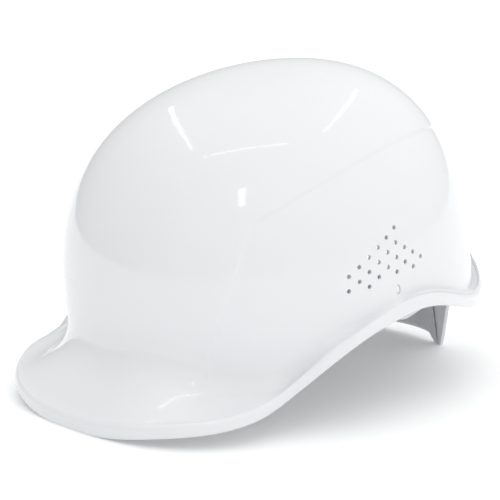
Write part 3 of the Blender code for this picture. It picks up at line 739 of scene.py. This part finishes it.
# Crown straps: two flat webbings that cross under the crown.
strapPlan = {
    "width": 19.0, "thickness": 1.2, "low": 41.0, "bend": 48.5, "crown": 106.0, "lift": 2.1,
    "steps": 44, "across": 10, "bendPull": (20, 27), "crownPull": 47,  # how far the curve's handles reach
    "stitchLines": (50.5, 53.0), "stitchHalf": 7.5,
}


def strapHalf(degrees, crown):  # distance out and height, from a key's foot to the crown
    start = bladeRadius(degrees) - keyPlan["thickness"] / 2 - rest["gap"] - strapPlan["thickness"] / 2
    bend = strapPlan["bend"]
    path = [(start, strapPlan["low"] + (bend - strapPlan["low"]) * k / 4) for k in range(5)]
    inwards, upwards = strapPlan["bendPull"]
    a, b = Vector((start, bend)), Vector((start - inwards, bend + upwards))
    c, d = Vector((strapPlan["crownPull"], crown)), Vector((0, crown))
    for k in range(1, strapPlan["steps"] + 1):
        t = k / strapPlan["steps"]
        p = a * (1 - t) ** 3 + b * 3 * t * (1 - t) ** 2 + c * 3 * t * t * (1 - t) + d * t ** 3
        path.append((p.x, p.y))
    return path


strapLines = []
for frontPlace, rearPlace, crown in (("front_left", "rear_right", strapPlan["crown"]),
                                     ("front_right", "rear_left", strapPlan["crown"] + strapPlan["lift"])):
    out = outward(keyDegrees[frontPlace])
    side = sideways(keyDegrees[frontPlace])
    rearHalf = strapHalf(keyDegrees[rearPlace], crown)
    path = strapHalf(keyDegrees[frontPlace], crown) + [(-r, z) for r, z in reversed(rearHalf[:-1])]
    centre = [out * r + Vector((0, 0, z)) for r, z in path]
    profile = []  # a flat weave with round selvedges
    halfWidth = strapPlan["width"] / 2
    halfThick = strapPlan["thickness"] / 2
    flat = strapPlan["width"] - 2 * halfThick
    for k in range(strapPlan["across"] + 1):
        profile.append((-halfWidth + halfThick + flat * k / strapPlan["across"], halfThick))
    shoulder = halfWidth - halfThick * 0.3
    profile += [(shoulder, halfThick * 0.7), (halfWidth, 0), (shoulder, -halfThick * 0.7)]
    profile += [(-s, -t) for s, t in profile[:strapPlan["across"] + 1]]
    profile += [(-s, -t) for s, t in profile[strapPlan["across"] + 1:strapPlan["across"] + 4]]
    points = []
    coords = []
    length = 0.0
    for k, point in enumerate(centre):
        before = centre[max(k - 1, 0)]
        after = centre[min(k + 1, len(centre) - 1)]
        lift = side.cross((after - before).normalized())
        length += (point - before).length
        points += [point + side * s + lift * t for s, t in profile]
        coords += [(s + halfWidth, length) for s, t in profile]
        for height in strapPlan["stitchLines"]:
            if k and (before.z - height) * (point.z - height) < 0:
                inward = lift * (halfThick + 0.1) * (1 if lift.dot(point) < 0 or abs(lift.z) > 0.9 else -1)
                reach = strapPlan["stitchHalf"]
                strapLines.append([toRow(point + inward + side * s) for s in (-reach, reach)])
    mesh = meshFrom("crown_strap", points, ringFaces(len(profile), len(centre)))
    strap = newPiece("crown_strap_" + frontPlace + "_woven", mesh, [webbing])
    layer = strap.data.uv_layers.new(name="webbing")
    for corner in strap.data.loops:
        layer.data[corner.index].uv = coords[corner.vertex_index]
    strap.data.set_sharp_from_angle(angle=math.radians(60))
    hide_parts("crown_strap_" + frontPlace)
    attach(strap, "hanger")
sewn("crown_strap_stitches", strapLines, "hanger")
print("crown straps woven")

# Pads: soft covers blown up between their seams.
bandPlan = {"halfWidth": 79.5, "front": 98.0, "rear": 92.0, "thickness": 1.6,
            "heights": ((0, 14, 42), (45, 15, 42), (80, 20, 44), (105, 17, 43), (125, 16, 40), (180, 16, 40))}
browPlan = {
    "halfDegrees": 31.0, "thickness": 4.0, "overhang": 1.1, "cover": 1.9, "channels": (0.2, 0.4, 0.6, 0.8),
    "along": 80, "up": 20, "swell": 1.3, "fill": 0.5, "flapSteps": 60,
}
napePlan = {
    "rear": 94.2, "halfWidth": 25.0, "thickness": 1.7, "channels": (0.333, 0.667), "along": 36, "up": 22,
    "swell": 0.6, "fill": 0.4, "lowMargin": 1.3, "highMargin": 1.1, "lowest": -42.9,
    "heights": ((0, -39.8, -12), (10, -39.8, -12), (17, -40, -11), (20.5, -44.6, -10.4), (26, -44.6, -9)),
}
coverPlan = {  # both pads: share of the thickness at a seam, what it gains off it, and over how many quads
    "seamDepth": 0.35, "gain": 0.3, "rimRun": 3, "channelRun": 2.5, "channelHalf": 0.6, "backing": 0.1,
}


def ovalPoint(turn, offset, halfWidth, rear):
    length = bandPlan["front"] if math.cos(turn) > 0 else rear
    normal = Vector((math.sin(turn) / halfWidth, -math.cos(turn) / length, 0)).normalized()
    return Vector((halfWidth * math.sin(turn), -length * math.cos(turn), 0)) + normal * offset


def heightsAt(value, marks):
    return [float(np.interp(value, [m[0] for m in marks], [m[i] for m in marks])) for i in (1, 2)]


def browPoint(a, b, offset):
    angle = math.radians(browPlan["halfDegrees"])
    end = math.atan2(math.sin(angle) / bandPlan["halfWidth"], math.cos(angle) / bandPlan["front"])
    turn = end * (2 * a - 1)
    low, high = heightsAt(abs(math.degrees(turn)), bandPlan["heights"])
    height = low - browPlan["overhang"] + (high - low + browPlan["cover"]) * b
    return ovalPoint(turn, offset, bandPlan["halfWidth"], bandPlan["rear"]) + Vector((0, 0, height))


def napePoint(a, b, offset):
    halfWidth = bandPlan["halfWidth"] + bandPlan["thickness"] + rest["gap"]
    end = math.asin(napePlan["halfWidth"] / halfWidth)
    turn = math.pi + end * (2 * a - 1)
    point = ovalPoint(turn, offset, halfWidth, napePlan["rear"])
    low, high = heightsAt(abs(point.x), napePlan["heights"])
    low = max(low + napePlan["lowMargin"], napePlan["lowest"])
    return point + Vector((0, 0, low + (high - napePlan["highMargin"] - low) * b))


def padMesh(name, plan, pointAt):  # a thin closed cover, pinched at its rim and along its channels
    along, up = plan["along"], plan["up"]
    points = []
    pinned = []
    for face in (0, 1):
        for i in range(along + 1):
            for k in range(up + 1):
                a, b = i / along, k / up
                rim = min(i, along - i, k, up - k) == 0
                fromRim = min(min(a, 1 - a) * along, min(b, 1 - b) * up) / coverPlan["rimRun"]
                channel = min(abs(a - c) * along for c in plan["channels"])
                gain = coverPlan["gain"] * min(fromRim, 1) * min(channel / coverPlan["channelRun"], 1)
                depth = coverPlan["seamDepth"] + gain
                offset = -rest["gap"] - (plan["thickness"] * depth if face else coverPlan["backing"])
                points.append(toRow(pointAt(a, b, offset)))
                if rim or not face or channel < coverPlan["channelHalf"]:
                    pinned.append(len(points) - 1)
    row = up + 1
    size = (along + 1) * row
    faces = []
    for i in range(along):
        for k in range(up):
            here = i * row + k
            quad = (here, here + 1, here + row + 1, here + row)
            faces += [quad, tuple(size + j for j in reversed(quad))]
    rimPath = [i * row for i in range(along + 1)] + [along * row + k for k in range(1, row)]
    rimPath += [i * row + up for i in range(along - 1, -1, -1)] + [k for k in range(up - 1, 0, -1)]
    for here, there in zip(rimPath, rimPath[1:] + rimPath[:1]):
        faces.append((here, there, there + size, here + size))
    return meshFrom(name, points, faces, placed=True), pinned


swellFrames = 20


def swollen(piece, pinned, plan):  # cloth under pressure, held at the seams
    start = np.array([tuple(v.co) for v in piece.data.vertices])
    group = piece.vertex_groups.new(name="sewn")
    group.add(pinned, 1.0, "REPLACE")
    cloth = piece.modifiers.new("cloth", "CLOTH")
    cloth.settings.quality = 6
    cloth.settings.mass = 0.2
    cloth.settings.bending_stiffness = 0.3
    cloth.settings.use_pressure = True
    cloth.settings.uniform_pressure_force = 4.0
    cloth.settings.effector_weights.gravity = 0.0
    cloth.settings.vertex_group_mass = "sewn"
    cloth.point_cache.frame_start = 1
    cloth.point_cache.frame_end = swellFrames
    for moment in range(1, swellFrames + 1):
        bpy.context.scene.frame_set(moment)
        graph = bpy.context.evaluated_depsgraph_get()
        shaped = piece.evaluated_get(graph).to_mesh()
    moved = np.array([tuple(v.co) for v in shaped.vertices]) - start
    piece.modifiers.clear()
    piece.vertex_groups.clear()
    bpy.context.scene.frame_set(1)
    far = np.linalg.norm(moved, axis=1, keepdims=True)
    print(piece.name, "swelled by up to", round(float(far.max()) * 1000, 2), "mm")
    limit = plan["swell"] * mm
    moved *= limit * np.tanh(far / limit) / np.maximum(far, 1e-9)  # eases into the cap
    piece.data.vertices.foreach_set("co", (start + moved).astype(np.float32).ravel())
    piece.data.update()
    finer = piece.modifiers.new("finer", "SUBSURF")
    finer.levels = 1
    finer.render_levels = 1
    settled(piece)
    piece.data.shade_smooth()


def seamLine(plan, pointAt, start, end, depth, steps=40):
    line = []
    for k in range(steps + 1):
        a, b = (start[i] + (end[i] - start[i]) * k / steps for i in (0, 1))
        line.append(toRow(pointAt(a, b, -rest["gap"] - plan["thickness"] * depth)))
    return line


browMesh, browPins = padMesh("brow_pad", browPlan, browPoint)
browPad = newPiece("brow_pad_sewn", browMesh, [browKnit])
swollen(browPad, browPins, browPlan)

flapRings = []  # the cover goes on under the band and up its outer face
for i in range(browPlan["flapSteps"] + 1):
    a = i / browPlan["flapSteps"]
    foot = browPoint(a, 0, 0)
    high = browPoint(a, 1, 0).z - 0.8
    low = foot.z + browPlan["overhang"] - rest["gap"]
    outer = bandPlan["thickness"] + rest["gap"]
    section = [  # out from the band's inner face, and up from its foot
        (-1.5, 0.9), (-1.5, -0.4), (-0.6, -1.2), (outer + 0.8, -1.3), (outer + 1.35, -0.5),
        (outer + 1.35, 3.0), (outer + 1.2, high - 12.8 - low), (outer + 0.7, high - 12.1 - low),
        (outer + 0.1, high - 12.6 - low), (outer + 0.1, 3.0), (outer + 0.1, 0.3), (outer - 0.3, -0.1),
        (-0.2, -0.1), (-0.4, 0.9)]
    flapRings.append([browPoint(a, 0, s) - Vector((0, 0, foot.z - low - t)) for s, t in section])
flapFaces = ringFaces(len(flapRings[0]), len(flapRings))
flapMesh = meshFrom("brow_flap", [p for ring in flapRings for p in ring], flapFaces)
flap = newPiece("brow_flap", flapMesh, [browKnit])
joined(browPad, [flap])
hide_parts("brow_pad")
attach(browPad, "brow_pad")
browLines = [seamLine(browPlan, browPoint, (c, 0.06), (c, 0.94), 0.42) for c in browPlan["channels"]]
browLines += [seamLine(browPlan, browPoint, (0.015, b), (0.985, b), 0.44, 80) for b in (0.05, 0.95)]
sewn("brow_pad_stitches", browLines, "brow_pad")

napeMesh, napePins = padMesh("nape_pad", napePlan, napePoint)
napePad = newPiece("nape_pad_sewn", napeMesh, [browKnit])
swollen(napePad, napePins, napePlan)
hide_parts("nape_pad")
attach(napePad, "nape_strap")
napeLines = [seamLine(napePlan, napePoint, (0.03, 0.95), (0.97, 0.95), 0.55)]
napeLines += [seamLine(napePlan, napePoint, (c, 0.05), (c, 0.95), 0.5) for c in napePlan["channels"]]
sewn("nape_pad_stitches", napeLines, "nape_strap")
print("pads sewn")

# A pale floor, an even tent of light, and the thin lamps that the shell mirrors.
floorPlan = {"half": 2.5, "colors": ("#f7f7f7", "#f4f5f6"), "glow": 0.14}
paper, paperTree, paperShader = newMaterial("Back-lit seamless paper, matte", {
    "Roughness": 0.9, "Specular IOR Level": 0.1, "Emission Color": (1.0, 1.0, 1.0, 1.0),
    "Emission Strength": floorPlan["glow"]})
paperPlace = addNode(paperTree, "ShaderNodeTexCoord").outputs["Object"]
paperTone = addNode(paperTree, "ShaderNodeTexNoise", {"Scale": 4.0, "Detail": 2.0}, {"Vector": paperPlace})
mixedColor(paperTree, paperShader, paperTone.outputs["Fac"], floorPlan["colors"])
half = floorPlan["half"]
floorMesh = bpy.data.meshes.new("floor")
floorCorners = [(-half, -half, 0), (half, -half, 0), (half, half, 0), (-half, half, 0)]
floorMesh.from_pydata(floorCorners, [], [(0, 1, 2, 3)])
newPiece("floor", floorMesh, [paper])

lampPlan = {  # each lamp: its two ends, its width, how bright it looks and its number of bulbs
    "tent": 0.63, "tentLean": (0.18, 0.18, 0.69), "lampsFace": (0, 0, 0.1), "bulbShare": 0.55,
    "tubes": {
        "tube_left": ((-1.137, 0.519, 0.768), (-0.603, -0.211, 1.378), 0.024, 5.0, 16),
        "tube_back": ((-0.472, 1.029, 0.982), (0.195, 0.484, 1.443), 0.034, 5.0, 18),
        "tube_top": ((-0.415, -0.320, 1.435), (0.170, 0.162, 1.520), 0.03, 6.5, 24),
        "lamp_front": ((0.509, -0.629, 1.319), (0.742, -0.795, 1.094), 0.08, 5.0, 1),
    },
}


def addLamp(name, start, end, width, brightness):
    middle = (start + end) / 2
    back = (middle - Vector(lampPlan["lampsFace"])).normalized()
    along = (end - start).normalized()
    across = back.cross(along).normalized()
    lamp = bpy.data.lights.new(name, "AREA")
    lamp.shape = "RECTANGLE"
    lamp.size = (end - start).length
    lamp.size_y = width
    lamp.energy = brightness * math.pi * lamp.size * lamp.size_y
    holder = bpy.data.objects.new(name, lamp)
    turn = Matrix((along, across, along.cross(across))).transposed()
    holder.matrix_world = Matrix.Translation(middle) @ turn.to_4x4()
    bpy.context.scene.collection.objects.link(holder)
    return holder


scene = bpy.context.scene
tent = bpy.data.worlds.new("tent")
tent.use_nodes = True
sky = addNode(tent.node_tree, "ShaderNodeTexCoord").outputs["Generated"]
lean = addNode(tent.node_tree, "ShaderNodeVectorMath", {1: lampPlan["tentLean"]}, {0: sky},
               operation="DOT_PRODUCT")
glow = addNode(tent.node_tree, "ShaderNodeMath", {1: lampPlan["tent"]}, {0: lean.outputs["Value"]},
               operation="ADD")
backdrop = tent.node_tree.nodes["Background"]
backdrop.inputs["Color"].default_value = (1.0, 1.0, 1.0, 1.0)
tent.node_tree.links.new(glow.outputs[0], backdrop.inputs["Strength"])
scene.world = tent
for name, (start, end, width, brightness, bulbs) in lampPlan["tubes"].items():
    start, end = Vector(start), Vector(end)
    lit = lampPlan["bulbShare"] if bulbs > 1 else 1.0
    for k in range(bulbs):
        addLamp(name, start.lerp(end, k / bulbs), start.lerp(end, (k + lit) / bulbs), width, brightness)
scene.view_settings.view_transform = "Standard"

cameraPlan = {"place": (0.9352, -0.8920, 0.3963), "aim": (-0.0026, -0.0028, 0.0685), "lens": 184.8}
lens = bpy.data.cameras.new("camera")
lens.lens = cameraPlan["lens"]
lens.sensor_width = 36.0
lens.clip_start = 0.05
camera = bpy.data.objects.new("camera", lens)
camera.location = cameraPlan["place"]
camera.rotation_euler = (Vector(cameraPlan["aim"]) - camera.location).to_track_quat("-Z", "Y").to_euler()
scene.collection.objects.link(camera)
scene.camera = camera

print("scene ready")
